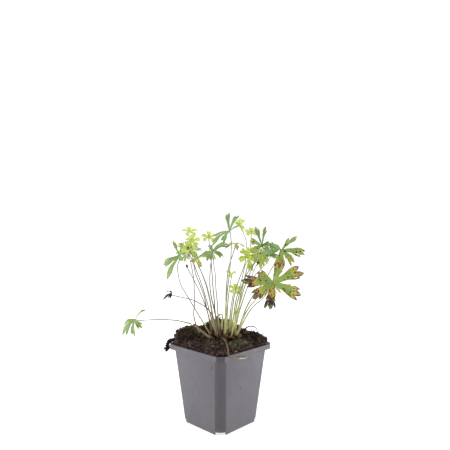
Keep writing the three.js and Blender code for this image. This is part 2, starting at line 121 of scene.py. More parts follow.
def palm(node, stalk_top):
    """The hub, upper side and lobes of a CAD leaf."""
    points, links = welded(node)
    near_hub = min(range(len(points)), key=lambda i: (points[i] - stalk_top).length)
    steps = Counter()
    for i, others in enumerate(links):
        for j in others:
            steps[tuple(round(c / (0.02 * MM)) for c in points[j] - points[i])] += 1
    step = Vector(steps.most_common(1)[0][0]) * (0.02 * MM)
    finder = KDTree(len(points))
    for i, point in enumerate(points):
        finder.insert(point, i)
    finder.balance()

    def at(point):
        _, i, gap = finder.find(point)
        return i if gap < 0.05 * MM else None

    if at(points[near_hub] + step) is None:
        step = -step
    hub = at(points[near_hub] + step)
    top = {i for i in range(len(points)) if at(points[i] - step) is not None}
    rim = {i for i in top if at(points[i] - step) in links[i]}
    ridges = top - rim - {hub}
    centre = points[hub]
    lobes = []
    for i in sorted(rim):
        sides = [j for j in links[i] if j in rim]
        reach = (points[i] - centre).length
        if len(sides) != 2 or any((points[j] - centre).length >= reach for j in sides):
            continue
        heading = (points[i] - centre).normalized()
        ridge = max(ridges, key=lambda j: (points[j] - centre).normalized().dot(heading))
        lobes.append({
            "tip": points[i] - centre,
            "ridge": points[ridge] - centre,
            "half": (points[sides[0]] - points[sides[1]]).length / 2,
            "length": reach,
        })
    return centre, step.normalized(), lobes


# ---- meshes ------------------------------------------------------------------------------------
class Build:
    """Collects points, faces and per-point marks, then becomes one piece."""

    def __init__(self, *marks):
        self.points = []
        self.faces = []
        self.marks = {mark: [] for mark in marks}

    def add(self, points, faces, **marks):
        start = len(self.points)
        self.points.extend(points)
        self.faces.extend([tuple(i + start for i in face) for face in faces])
        for name, values in self.marks.items():
            given = marks.get(name, 0.0)
            values.extend(given if isinstance(given, list) else [given] * len(points))

    def piece(self, name, material, smooth=True, replaces=()):
        mesh = bpy.data.meshes.new(name)
        mesh.from_pydata([tuple(p) for p in self.points], [], self.faces)
        for mark, values in self.marks.items():
            mesh.attributes.new(mark, "FLOAT", "POINT").data.foreach_set("value", values)
        mesh.polygons.foreach_set("use_smooth", [smooth] * len(mesh.polygons))
        mesh.update()
        mesh.materials.append(material)
        made = bpy.data.objects.new(name, mesh)
        bpy.context.scene.collection.objects.link(made)
        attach(made, "root")
        if replaces:
            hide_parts(*replaces)
        return made


def smooth_path(points, step):
    """A Catmull-Rom curve through the points, sampled about every step."""
    ends = [points[0] * 2 - points[1], *points, points[-1] * 2 - points[-2]]
    path = []
    for p0, p1, p2, p3 in zip(ends, ends[1:], ends[2:], ends[3:]):
        count = max(1, round((p2 - p1).length / step))
        for k in range(count):
            t = k / count
            path.append(0.5 * (2 * p1 + (p2 - p0) * t + (2 * p0 - 5 * p1 + 4 * p2 - p3) * t * t
                               + (3 * p1 - p0 - 3 * p2 + p3) * t * t * t))
    path.append(points[-1].copy())
    return path


def tube(path, radii, sides):
    """Closed round tube along a path, with one radius for each of its points."""
    points = []
    faces = []
    axis = (path[1] - path[0]).normalized()
    across = axis.orthogonal().normalized()
    for i, centre in enumerate(path):
        ahead = path[min(i + 1, len(path) - 1)] - path[max(i - 1, 0)]
        turn = axis.rotation_difference(ahead.normalized())
        across = turn @ across
        axis = ahead.normalized()
        other = axis.cross(across)
        for k in range(sides):
            angle = 2 * math.pi * k / sides
            points.append(centre + (across * math.cos(angle) + other * math.sin(angle)) * radii[i])
    for i in range(len(path) - 1):
        for k in range(sides):
            j = (k + 1) % sides
            faces.append((i * sides + k, i * sides + j, (i + 1) * sides + j, (i + 1) * sides + k))
    last = (len(path) - 1) * sides
    faces.append(tuple(reversed(range(sides))))
    faces.append(tuple(range(last, last + sides)))
    return points, faces


def lump_template(level):
    ball = bmesh.new()
    bmesh.ops.create_icosphere(ball, subdivisions=level, radius=1)
    points = [v.co.copy() for v in ball.verts]
    faces = [tuple(v.index for v in f.verts) for f in ball.faces]
    ball.free()
    return points, faces


LUMPS = {level: lump_template(level) for level in (1, 2)}


def lump(centre, size, rng, level=1, rough=0.35):
    """An irregular crumb: a ball pushed in and out, stretched and turned at random."""
    points, faces = LUMPS[level]
    shift = Vector((rng.uniform(-50, 50), rng.uniform(-50, 50), rng.uniform(-50, 50)))
    stretch = Vector((rng.uniform(0.65, 1.3), rng.uniform(0.65, 1.3), rng.uniform(0.5, 1.0)))
    spin = Matrix.Rotation(rng.uniform(0, 6.28), 3, "Z") @ Matrix.Rotation(rng.uniform(-0.8, 0.8), 3, "X")
    made = []
    for point in points:
        out = 1 + rough * noise.noise(point * 1.3 + shift) * 2
        shaped = Vector((point.x * stretch.x, point.y * stretch.y, point.z * stretch.z))
        made.append(centre + spin @ shaped * (out * size))
    return made, faces
class Paint:
    """A Principled material put together a step at a time. Positions are the row's, in metres."""

    def __init__(self, name, roughness=0.6, **sockets):
        self.material = bpy.data.materials.new(name)
        self.material.use_nodes = True
        self.tree = self.material.node_tree
        self.shader = self.tree.nodes["Principled BSDF"]
        self.shader.inputs["Roughness"].default_value = roughness
        for socket, value in sockets.items():
            self.shader.inputs[socket.replace("_", " ")].default_value = value
        self.place = self.add("ShaderNodeTexCoord").outputs["Object"]

    def add(self, kind, **settings):
        node = self.tree.nodes.new(kind)
        for name, value in settings.items():
            setattr(node, name, value)
        return node

    def feed(self, socket, value):
        if isinstance(value, bpy.types.NodeSocket):
            self.tree.links.new(value, socket)
        else:
            socket.default_value = value

    def math(self, operation, a, b=0.0, clamp=False):
        node = self.add("ShaderNodeMath", operation=operation, use_clamp=clamp)
        self.feed(node.inputs[0], a)
        self.feed(node.inputs[1], b)
        return node.outputs[0]

    def step(self, value, low, high, out_low=0.0, out_high=1.0):
        """Smooth rise from out_low to out_high as value goes from low to high."""
        node = self.add("ShaderNodeMapRange", interpolation_type="SMOOTHSTEP")
        for socket, given in zip(node.inputs, (value, low, high, out_low, out_high)):
            self.feed(socket, given)
        return node.outputs[0]

    def mix(self, factor, a, b, blend="MIX"):
        node = self.add("ShaderNodeMix", data_type="RGBA", blend_type=blend)
        self.feed(node.inputs[0], factor)
        self.feed(node.inputs[6], a if isinstance(a, bpy.types.NodeSocket) else (*a, 1.0))
        self.feed(node.inputs[7], b if isinstance(b, bpy.types.NodeSocket) else (*b, 1.0))
        return node.outputs[2]

    def ramp(self, factor, *stops):
        node = self.add("ShaderNodeValToRGB")
        self.feed(node.inputs[0], factor)
        marks = node.color_ramp.elements
        while len(marks) < len(stops):
            marks.new(0.5)
        for mark, (position, colour) in zip(marks, stops):
            mark.position = position
            mark.color = (*colour, 1.0)
        return node.outputs[0]

    def noise(self, scale, detail=3.0, roughness=0.55, place=None, distortion=0.0):
        node = self.add("ShaderNodeTexNoise")
        self.feed(node.inputs["Vector"], place or self.place)
        for name, value in (("Scale", scale), ("Detail", detail), ("Roughness", roughness),
                            ("Distortion", distortion)):
            node.inputs[name].default_value = value
        return node.outputs[0]

    def cells(self, scale, place=None, feature="F1"):
        node = self.add("ShaderNodeTexVoronoi", feature=feature)
        self.feed(node.inputs["Vector"], place or self.place)
        node.inputs["Scale"].default_value = scale
        return node.outputs["Distance"]

    def stretched(self, x, y, z):
        node = self.add("ShaderNodeMapping")
        self.feed(node.inputs["Vector"], self.place)
        node.inputs["Scale"].default_value = (x, y, z)
        return node.outputs[0]

    def near(self, places):
        """1 at the given (place, reach) spots, falling to 0 at their reach."""
        value = 0.0
        for place, reach in places:
            gap = self.add("ShaderNodeVectorMath", operation="DISTANCE")
            self.feed(gap.inputs[0], self.place)
            gap.inputs[1].default_value = place
            value = self.math("MAXIMUM", self.step(gap.outputs["Value"], reach, reach * 0.3), value)
        return value

    def mark(self, name):
        return self.add("ShaderNodeAttribute", attribute_name=name).outputs["Fac"]

    def bump(self, height, distance, strength=1.0):
        """Adds a layer of relief, distance metres deep, over what is there."""
        node = self.add("ShaderNodeBump")
        node.inputs["Strength"].default_value = strength
        node.inputs["Distance"].default_value = distance
        self.feed(node.inputs["Height"], height)
        normal = self.shader.inputs["Normal"]
        if normal.is_linked:
            self.feed(node.inputs["Normal"], normal.links[0].from_socket)
        self.feed(normal, node.outputs[0])

    def colour(self, value):
        self.feed(self.shader.inputs["Base Color"], value)

    def gloss(self, value):
        self.feed(self.shader.inputs["Roughness"], value)


# ---- materials ---------------------------------------------------------------------------------
# Dirty spots on the pot, as the viewer sees them, and how far each reaches, in millimetres.
POT_DIRT = ((-9, -50, 84, 6), (-10, -49, 77, 5), (-25, -30, 51, 5), (-2, -52, 54, 4), (25, -31, 48, 5),
            (58, -2, 84, 9), (33, -26, 80, 5), (-40, -20, 82, 6))


def pot_plastic():
    """Grey recycled plastic: fine moulding grain, faint upright drag marks, smears and specks of
    peat, most of them under the rim and at the foot. The corner strips carry painted shade, a darker grey."""
    paint = Paint("pot plastic", 0.5)
    cloud = paint.noise(24, 4)
    streak = paint.noise(1, 3, place=paint.stretched(700, 700, 7))
    grain = paint.noise(2600, 2)
    base = paint.mix(paint.step(cloud, 0.3, 0.72), (0.118, 0.112, 0.132), (0.140, 0.134, 0.152))
    drag = paint.math("MULTIPLY", paint.step(streak, 0.5, 0.74), 0.22)
    base = paint.mix(drag, base, (0.20, 0.195, 0.21))
    # Painted shade: the pot's four corner strips are mixed towards a darker grey.
    base = paint.mix(paint.math("MULTIPLY", paint.mark("corner_shade"), 0.8), base, (0.062, 0.058, 0.066))
    base = paint.mix(paint.math("MULTIPLY", paint.step(grain, 0.42, 0.30), 0.25), base, (0.07, 0.066, 0.075))
    height = paint.add("ShaderNodeSeparateXYZ")
    paint.feed(height.inputs[0], paint.place)
    z = height.outputs["Z"]
    ends = paint.math("MAXIMUM", paint.step(z, 0.022, 0.0), paint.step(z, 0.070, 0.088))
    grime = paint.step(paint.noise(75, 6, 0.7), 0.52, 0.70)
    smear = paint.math("MULTIPLY", grime, paint.step(ends, 0.0, 1.0, 0.12, 0.7))
    base = paint.mix(smear, base, (0.20, 0.155, 0.135))
    dirt = paint.near([(seen(*spot[:3]), spot[3] * MM) for spot in POT_DIRT])
    dirty = paint.math("MAXIMUM", paint.step(paint.noise(46, 3), 0.58, 0.66), dirt)
    speck = paint.math("MULTIPLY", paint.step(paint.cells(520), 0.26, 0.14), dirty)
    speck = paint.math("MULTIPLY", speck, paint.step(z, 0.01, 0.07, 0.35, 0.95))
    base = paint.mix(speck, base, (0.035, 0.024, 0.02))
    smudge = paint.math("MULTIPLY", dirt, paint.step(paint.noise(260, 5, 0.7), 0.46, 0.66))
    base = paint.mix(paint.math("MULTIPLY", smudge, 0.6), base, (0.07, 0.047, 0.04))
    paint.colour(base)
    rough = paint.math("MULTIPLY_ADD", paint.noise(140, 4), 0.2)
    rough.node.inputs[2].default_value = 0.40
    paint.gloss(rough)
    paint.bump(streak, 0.00005, 0.5)
    paint.bump(grain, 0.00004, 0.5)
    paint.bump(speck, 0.0003, 0.8)
    return paint.material


def peat():
    paint = Paint("peat", 0.95)
    tone = paint.mark("tone")
    base = paint.ramp(tone, (0.0, (0.014, 0.008, 0.007)), (0.35, (0.048, 0.027, 0.021)),
                      (0.6, (0.125, 0.068, 0.054)), (0.8, (0.22, 0.13, 0.10)), (1.0, (0.50, 0.38, 0.28)))
    mottled = paint.mix(paint.step(paint.noise(900, 5, 0.7), 0.3, 0.75), (0.35, 0.35, 0.35), (1.6, 1.5, 1.4))
    base = paint.mix(1.0, base, mottled, "MULTIPLY")
    moss = paint.math("MULTIPLY", paint.mark("moss"), paint.step(paint.noise(700, 3), 0.35, 0.6))
    base = paint.mix(paint.math("MULTIPLY", moss, 0.6), base, (0.07, 0.095, 0.03))
    paint.colour(base)
    paint.bump(paint.noise(2200, 6, 0.75), 0.0006, 0.9)
    paint.bump(paint.cells(1300), 0.0004, 0.6)
    return paint.material


def rootstock():
    paint = Paint("rootstock", 0.8)
    tone = paint.mark("tone")
    base = paint.ramp(tone, (0.0, (0.05, 0.028, 0.016)), (0.4, (0.17, 0.095, 0.045)),
                      (0.7, (0.36, 0.24, 0.12)), (1.0, (0.6, 0.55, 0.25)))
    streak = paint.noise(1, 4, place=paint.stretched(1500, 1500, 220))
    shade = paint.mix(paint.step(streak, 0.3, 0.7), (0.5, 0.5, 0.5), (1.4, 1.35, 1.3))
    base = paint.mix(1.0, base, shade, "MULTIPLY")
    paint.colour(base)
    paint.bump(streak, 0.0003, 0.9)
    return paint.material


def stalk_skin():
    """tone 0 is purple brown, 1 is green; along runs from the foot, 0, to the leaf, 1."""
    paint = Paint("stalk skin", 0.5)
    along = paint.mark("along")
    green = paint.ramp(along, (0.0, (0.86, 0.82, 0.42)), (0.16, (0.78, 0.82, 0.36)),
                       (0.36, (0.42, 0.46, 0.20)), (1.0, (0.24, 0.27, 0.13)))
    dark = paint.ramp(along, (0.0, (0.30, 0.20, 0.11)), (0.3, (0.14, 0.08, 0.085)),
                      (1.0, (0.09, 0.055, 0.06)))
    base = paint.mix(paint.mark("tone"), dark, green)
    patch = paint.noise(160, 4, 0.6)
    tanned = paint.math("MULTIPLY", paint.step(patch, 0.46, 0.66), paint.step(along, 0.15, 0.4, 0.15, 0.75))
    base = paint.mix(tanned, base, (0.25, 0.17, 0.12))
    streak = paint.noise(1, 2, place=paint.stretched(2600, 2600, 60))
    base = paint.mix(1.0, base, paint.mix(streak, (0.75, 0.75, 0.75), (1.2, 1.2, 1.2)), "MULTIPLY")
    paint.colour(base)
    paint.bump(streak, 0.00015, 0.8)
    return paint.material


def blade_skin():
    """The skin of every leaf. along and aside are millimetres along and off the nearest lobe's
    midrib, age is 0 when young, decay and spots tell how far it has died back."""
    paint = Paint("leaf skin", 0.5, Subsurface_Weight=0.12, Subsurface_Scale=0.002)
    paint.shader.inputs["Subsurface Radius"].default_value = (0.5, 1.0, 0.2)
    age = paint.mark("age")
    fine = paint.noise(520, 5, 0.6)
    wide = paint.noise(110, 3)
    young = paint.mix(wide, (0.60, 0.76, 0.06), (0.80, 0.92, 0.22))
    grown = paint.mix(wide, (0.150, 0.250, 0.080), (0.270, 0.400, 0.130))
    green = paint.mix(age, young, grown)
    green = paint.mix(1.0, green, paint.mix(fine, (0.7, 0.7, 0.7), (1.3, 1.3, 1.3)), "MULTIPLY")
    aside = paint.mark("aside")
    along = paint.mark("along")
    rib = paint.step(aside, 0.42, 0.12)
    fold = paint.math("MULTIPLY_ADD", aside, -1.25)
    paint.feed(fold.node.inputs[2], along)
    stripe = paint.math("FRACT", paint.math("DIVIDE", fold, 2.9))
    side = paint.math("ABSOLUTE", paint.math("SUBTRACT", stripe, 0.5))
    vein = paint.math("MAXIMUM", rib, paint.math("MULTIPLY", paint.step(side, 0.055, 0.012), 0.6))
    pale = paint.mix(age, (0.80, 0.86, 0.34), (0.40, 0.53, 0.24))
    top = paint.mix(paint.math("MULTIPLY", vein, 0.65), green, pale)
    back = paint.mix(age, (0.58, 0.70, 0.24), (0.30, 0.40, 0.21))
    back = paint.mix(paint.math("MULTIPLY", vein, 0.75), back, (0.52, 0.60, 0.32))
    alive = paint.mix(paint.mark("under"), top, back)
    blotch = paint.math("MULTIPLY_ADD", paint.noise(330, 4, 0.65), 0.62)
    blotch.node.inputs[2].default_value = -0.31
    dying = paint.math("ADD", paint.mark("decay"), blotch, clamp=True)
    dead = paint.ramp(dying, (0.26, (0.48, 0.52, 0.07)), (0.40, (0.66, 0.52, 0.10)),
                      (0.50, (0.52, 0.26, 0.07)),
                      (0.58, (0.17, 0.05, 0.045)), (0.72, (0.05, 0.018, 0.022)), (1.0, (0.022, 0.012, 0.014)))
    tan = paint.math("MULTIPLY", paint.mark("tan"), paint.step(paint.noise(420, 3), 0.42, 0.6))
    dead = paint.mix(tan, dead, (0.50, 0.36, 0.17))
    base = paint.mix(paint.step(dying, 0.20, 0.34), alive, dead)
    where = paint.step(paint.noise(170, 1), 0.45, 0.51)
    dots = paint.math("MULTIPLY", paint.step(paint.cells(250), 0.36, 0.26), where)
    dots = paint.math("MULTIPLY", dots, paint.mark("spots"), clamp=True)
    halo = paint.math("MULTIPLY", paint.step(paint.cells(250), 0.62, 0.34), where)
    halo = paint.math("MULTIPLY", halo, paint.math("MULTIPLY", paint.mark("spots"), 0.75), clamp=True)
    base = paint.mix(halo, base, (0.50, 0.50, 0.08))
    base = paint.mix(dots, base, (0.016, 0.009, 0.008))
    paint.colour(base)
    paint.gloss(paint.step(dying, 0.3, 0.6, 0.48, 0.8))
    paint.bump(vein, 0.00035, -0.8)
    paint.bump(fine, 0.00025, 0.7)
    paint.bump(paint.cells(1500), 0.00012, 0.5)
    return paint.material


def dry_skin():
    paint = Paint("dry skin", 0.85)
    base = paint.ramp(paint.mark("tone"), (0.0, (0.07, 0.035, 0.022)), (0.5, (0.30, 0.19, 0.10)),
                      (0.8, (0.55, 0.40, 0.28)), (1.0, (0.75, 0.58, 0.52)))
    streak = paint.noise(800, 4, 0.65)
    shade = paint.mix(paint.step(streak, 0.3, 0.7), (0.5, 0.5, 0.5), (1.3, 1.3, 1.3))
    base = paint.mix(1.0, base, shade, "MULTIPLY")
    paint.colour(base)
    paint.bump(streak, 0.0003, 0.9)
    return paint.material


PLASTIC = pot_plastic()
PEAT = peat()
ROOTSTOCK = rootstock()
STALK = stalk_skin()
BLADE = blade_skin()
DRY = dry_skin()


# ---- leaves --------------------------------------------------------------------------------------
# How each leaf has fared: age from young, 0, to full grown, 1; decay at its tips; black spots;
# and the side, as the viewer sees it (right, away, up), that has suffered most.
HEALTH = {
    "blotched": (0.85, 1.0, 0.75, (-0.45, 0, -0.5)),
    "right_upper": (0.85, 0.16, 1.2, (0, 0, -1.5)),
    "rounded": (1.0, 0.0, 0.0, (0, 0, 0)),
    "spray": (1.0, 0.16, 1.6, (-1.0, 0, -0.3)),
    "yellowing": (0.62, 0.16, 1.3, (-0.7, 0, 0.3)),
    "bright_mid": (0.12, 0.0, 0.4, (0, 0, 0)),
    "young_top": (0.05, 0.0, 0.0, (0, 0, 0)),
    "pale_back": (0.25, 0.0, 0.0, (0, 0, 0)),
    "top": (1.0, 0.04, 0.0, (0, 0, 0)),
    "level_mid": (1.0, 0.55, 0.3, (-0.4, 0, 0)),
    "left_mid": (0.95, 0.06, 0.5, (0.3, 0, 0)),
    "pale_left": (0.0, 0.0, 0.0, (0, 0, 0)),
    "left_high": (0.0, 0.0, 0.2, (0, 0, 0)),
    "left_bright": (0.0, 0.0, 0.2, (0, 0, 0)),
    "left_spotted": (0.15, 0.12, 1.0, (0.5, 0, -0.5)),
    "left_brown": (0.45, 0.45, 0.8, (0, 0, -0.4)),
    "left_outer": (0.95, 0.04, 0.1, (0, 0, 0)),
    "far_left": (1.0, 0.30, 0.6, (1.2, 0, 1.5)),
    "small_upper": (0.1, 0.0, 0.0, (0, 0, 0)),
    "small_lower": (0.1, 0.0, 0.0, (0, 0, 0)),
    "withered": (0.5, 1.2, 0.0, (0, 0, 0)),
    "back_right_low": (0.9, 0.18, 0.5, (0.3, 0, -0.6)),
    "back_right_high": (0.75, 0.05, 0.3, (0, 0, 0)),
    "back_left_high": (0.85, 0.0, 0.1, (0, 0, 0)),
    "back_mid": (0.5, 0.0, 0.0, (0, 0, 0)),
    "back_trailing": (0.95, 0.25, 0.6, (0.3, 0, -0.5)),
}
BLADE_THICKNESS = 0.28 * MM
LOBE_PULL = 0.42     # how far round the hub a lobe shapes the leaf, in radians
NARROW = 0.15        # half width over length under which a lobe has hardly any fingers
FOOT_SHARE = 0.62    # a lobe's width near the hub against its widest
SIDE_TOOTH = 0.3     # how often a lobe has a tooth below its fingers


def bowed(start, end, bow, count=5):
    """Points from start towards end on a line that bows to its left, as a share of its length."""
    along = end - start
    left = Vector((-along.y, along.x))
    points = []
    for i in range(count):
        share = i / count
        points.append(start + along * share + left * (4 * bow * share * (1 - share)))
    return points


# Fingers at a lobe's end, from its right side to its left: how far across, in half widths,
# how far out, in lobe lengths, and how deep the notch after it goes.
GROWN_ENDS = (
    ((-0.95, 0.84, 0.66), (0.0, 1.0, 0.68), (0.90, 0.82, 0)),
    ((-0.62, 0.98, 0.68), (0.66, 0.92, 0)),
    ((-1.0, 0.80, 0.62), (-0.20, 1.0, 0.72), (0.75, 0.92, 0)),
    ((-0.78, 0.92, 0.72), (0.22, 1.0, 0.66), (1.0, 0.82, 0)),
)
NARROW_ENDS = (
    ((0.0, 1.0, 0),),
    ((-0.55, 1.0, 0.80), (0.75, 0.86, 0)),
    ((-0.75, 0.84, 0.78), (0.45, 1.0, 0)),
)
YOUNG_ENDS = (
    ((-0.85, 0.84, 0.76), (0.0, 1.0, 0.78), (0.85, 0.84, 0)),
    ((-0.6, 0.95, 0.82), (0.55, 0.96, 0)),
)


def lobe_outline(lobe, rng, ends):
    """The flat outline of one lobe: a wedge that swells, then ends in blunt fingers."""
    length, half = lobe["length"], lobe["half"]
    ahead = Vector((math.cos(lobe["turn"]), math.sin(lobe["turn"])))
    side = Vector((-ahead.y, ahead.x))

    def at(along, aside):
        return ahead * (along * length) + side * (aside * half)

    fingers = [(across + rng.uniform(-0.1, 0.1), out + rng.uniform(-0.03, 0.03), notch)
               for across, out, notch in rng.choice(ends)]
    shoulder = [rng.uniform(0.46, 0.58) for _ in range(2)]
    swell = [rng.uniform(0.78, 0.95) for _ in range(2)]
    corners = [(at(0, -0.3), 0.03), (at(shoulder[0] * 0.45, -FOOT_SHARE * swell[0]), 0.05),
               (at(shoulder[0], -swell[0]), -0.07)]
    if rng.random() < SIDE_TOOTH and len(fingers) > 1:
        corners[-1:] = [(at(shoulder[0] + 0.06, -swell[0] * 1.22), -0.06),
                        (at(shoulder[0] + 0.07, -swell[0] * 0.88), -0.07)]
    for k, (across, out, notch) in enumerate(fingers):
        blunt = 0.10 if len(fingers) > 1 else 0.03
        corners.append((at(out - 0.015, across - blunt), -0.25))
        corners.append((at(out - 0.015, across + blunt), -0.12))
        if k + 1 < len(fingers):
            between = (across + fingers[k + 1][0]) / 2
            corners.append((at(notch + rng.uniform(-0.05, 0.03), between), -0.12))
    if rng.random() < SIDE_TOOTH and len(fingers) > 1:
        corners += [(at(shoulder[1] + 0.07, swell[1] * 0.88), -0.06),
                    (at(shoulder[1] + 0.06, swell[1] * 1.22), -0.07)]
    corners.append((at(shoulder[1], swell[1]), 0.05))
    corners.append((at(shoulder[1] * 0.45, FOOT_SHARE * swell[1]), 0.03))
    corners.append((at(0, 0.3), 0))
    outline = []
    for (start, bow), (end, _) in zip(corners, corners[1:] + corners[:1]):
        outline += bowed(start, end, bow)
    return outline


def flat_sheet(outlines, ribs, spacing):
    """Triangles that fill the union of the outlines and follow the ribs."""
    points = []
    edges = []
    faces = []
    for outline in outlines:
        start = len(points)
        points.extend(outline)
        faces.append(list(range(start, start + len(outline))))
    for rib in ribs:
        start = len(points)
        points.extend(rib)
        edges.extend((i, i + 1) for i in range(start, start + len(rib) - 1))
    reach = max(p.length for p in points)
    rows = int(reach / spacing) + 1
    for row in range(-rows, rows + 1):
        for column in range(-rows, rows + 1):
            points.append(Vector(((column + 0.5 * (row % 2)) * spacing, row * spacing * 0.87)))
    made = delaunay_2d_cdt([p / MM for p in points], edges, faces, 0, 1e-4)
    flat = [p * MM for p in made[0]]
    kept = [tuple(f) for f, origins in zip(made[2], made[5]) if origins]
    used = sorted({i for f in kept for i in f})
    index = {old: new for new, old in enumerate(used)}
    return [flat[i] for i in used], [tuple(index[i] for i in f) for f in kept]


def border(faces):
    """Directed edges that only one face has."""
    sides = {(a, b) for f in faces for a, b in zip(f, f[1:] + f[:1])}
    return [(a, b) for a, b in sides if (b, a) not in sides]


def blade(name, build):
    rng = random.Random(name)
    age, decay, spots, worst = HEALTH[name]
    stalk = centreline(f"{name}_stem")
    top_of_stalk = min((stalk[0], stalk[-1]), key=lambda p: (p - palm_box(name)).length)
    hub, up, lobes = palm(f"{name}_leaf", top_of_stalk)
    bad_side = RIGHT * worst[0] - BACK * worst[1] + UP * worst[2]
    east = lobes[0]["tip"].cross(up).normalized()
    north = up.cross(east)
    for lobe in lobes:
        tip = lobe["tip"]
        lobe["turn"] = math.atan2(tip.dot(north), tip.dot(east))
        lobe["side"] = up.cross(tip).normalized()
        lobe["decay"] = max(0.0, decay + rng.uniform(-0.08, 0.08)) if decay else 0.0
        lobe["twist"] = rng.uniform(-0.25, 0.25)
    outlines = []
    ribs = []
    for lobe in lobes:
        narrow = lobe["half"] < NARROW * lobe["length"]
        ends = NARROW_ENDS if narrow else YOUNG_ENDS if age < 0.5 else GROWN_ENDS
        outlines.append(lobe_outline(lobe, rng, ends))
        ahead = Vector((math.cos(lobe["turn"]), math.sin(lobe["turn"])))
        ribs.append([ahead * (lobe["length"] * i / 12) for i in range(1, 12)])
    widest = max(lobe["length"] for lobe in lobes)
    flat, faces = flat_sheet(outlines, ribs, max(0.75 * MM, widest / 28))
    edge_points = {i for edge in border(faces) for i in edge}
    finder = KDTree(len(edge_points))
    for i in edge_points:
        finder.insert((*flat[i], 0), i)
    finder.balance()
    top = []
    marks = {key: [] for key in ("along", "aside", "decay", "tan")}
    for p in flat:
        inward = finder.find((*p, 0))[2] / MM
        top.append(lift(p, hub, up, lobes, marks, inward, name, bad_side, widest))
    add_sheet(build, top, faces, marks, age + rng.uniform(-0.05, 0.05), spots, edge_points)


def palm_box(name):
    low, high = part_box(f"{name}_leaf")
    return (low + high) / 2


def lift(p, hub, up, lobes, marks, inward, name, bad_side, widest):
    """Where a flat point of the leaf goes in space, and its marks."""
    radius = p.length
    turn = math.atan2(p.y, p.x)
    total = 0
    place = Vector()
    nearest = None
    for lobe in lobes:
        off = (turn - lobe["turn"] + math.pi) % (2 * math.pi) - math.pi
        weight = math.exp(-((off / LOBE_PULL) ** 2)) + 1e-9
        along = radius * math.cos(off)
        aside = radius * math.sin(off)
        t = along / lobe["length"]
        ridge, tip = lobe["ridge"], lobe["tip"]
        bent = ridge * (t * (t - 1) / -0.24) + tip * (t * (t - 0.6) / 0.4)
        slope = (ridge * ((2 * t - 1) / -0.24) + tip * ((2 * t - 0.6) / 0.4)).normalized()
        normal = slope.cross(lobe["side"]).normalized()
        if normal.dot(up) < 0:
            normal = -normal
        wide = aside / lobe["half"]
        rise = -0.10 * lobe["half"] * wide * wide + 0.16 * abs(aside)
        sick = max(0.0, lobe["decay"] - 0.35) * max(0.0, t - 0.5)
        rise += sick * lobe["length"] * (0.30 * wide * wide - 0.25)
        rise += lobe["twist"] * aside * max(0.0, t - 0.2)
        place += weight * (bent + lobe["side"] * aside + normal * rise)
        total += weight
        if nearest is None or abs(off) < nearest[0]:
            nearest = (abs(off), along, abs(aside), t, lobe)
    _, along, aside, t, lobe = nearest
    place = hub + place / total
    ripple = noise.noise(place * 170 + Vector((len(name), 0, 0))) * 0.45 * MM
    place += up * ripple * min(1.0, radius / (6 * MM))
    lost = lobe["decay"]
    toward = bad_side.dot(place - hub) / widest
    tipward = max(0.0, min(1.0, (t - 0.45) / 0.55))
    rim = max(0.0, 1 - inward / 1.5)
    sick = lost * (0.10 + 0.62 * tipward) + 0.5 * max(0.0, toward) + (0.42 * rim - 0.06) * min(1.0, lost * 2)
    sick += 4 * max(0.0, lost - 1)
    marks["along"].append(along / MM)
    marks["aside"].append(aside / MM)
    marks["decay"].append(max(0.0, sick) if lost + toward > 0.05 else 0.0)
    inner = min(1.0, inward / 1.1)
    marks["tan"].append(min(1.0, max(0.0, t - 0.74) * 6) * inner if lost > 0.45 else 0.0)
    return place


def add_sheet(build, top, faces, marks, age, spots, edge_points):
    """Closes a sheet with an underside, thinner at its edge."""
    normals = [Vector() for _ in top]
    for a, b, c in faces:
        normal = (top[b] - top[a]).cross(top[c] - top[a])
        for i in (a, b, c):
            normals[i] += normal
    low = []
    for i, point in enumerate(top):
        depth = BLADE_THICKNESS * (0.45 if i in edge_points else 1.0)
        low.append(point - normals[i].normalized() * depth)
    count = len(top)
    solid = list(faces) + [tuple(i + count for i in reversed(f)) for f in faces]
    solid += [(b, a, a + count, b + count) for a, b in border(faces)]
    both = {key: values + values for key, values in marks.items()}
    build.add(top + low, solid, age=age, spots=spots, under=[0.0] * count + [1.0] * count, **both)


def make_leaves():
    for name in HEALTH:
        build = Build("along", "aside", "age", "decay", "spots", "tan", "under")
        blade(name, build)
        build.piece(f"{name}_blade", BLADE, replaces=[f"{name}_leaf"])


# ---- stalks --------------------------------------------------------------------------------------
DARK_STALKS = {"left_mid", "pale_left", "withered"}
FOOT_RADIUS = 1.0 * MM
TIP_RADIUS = 0.5 * MM
HAIRS_PER_STEP = 3.2
STALK_SIDES = 10


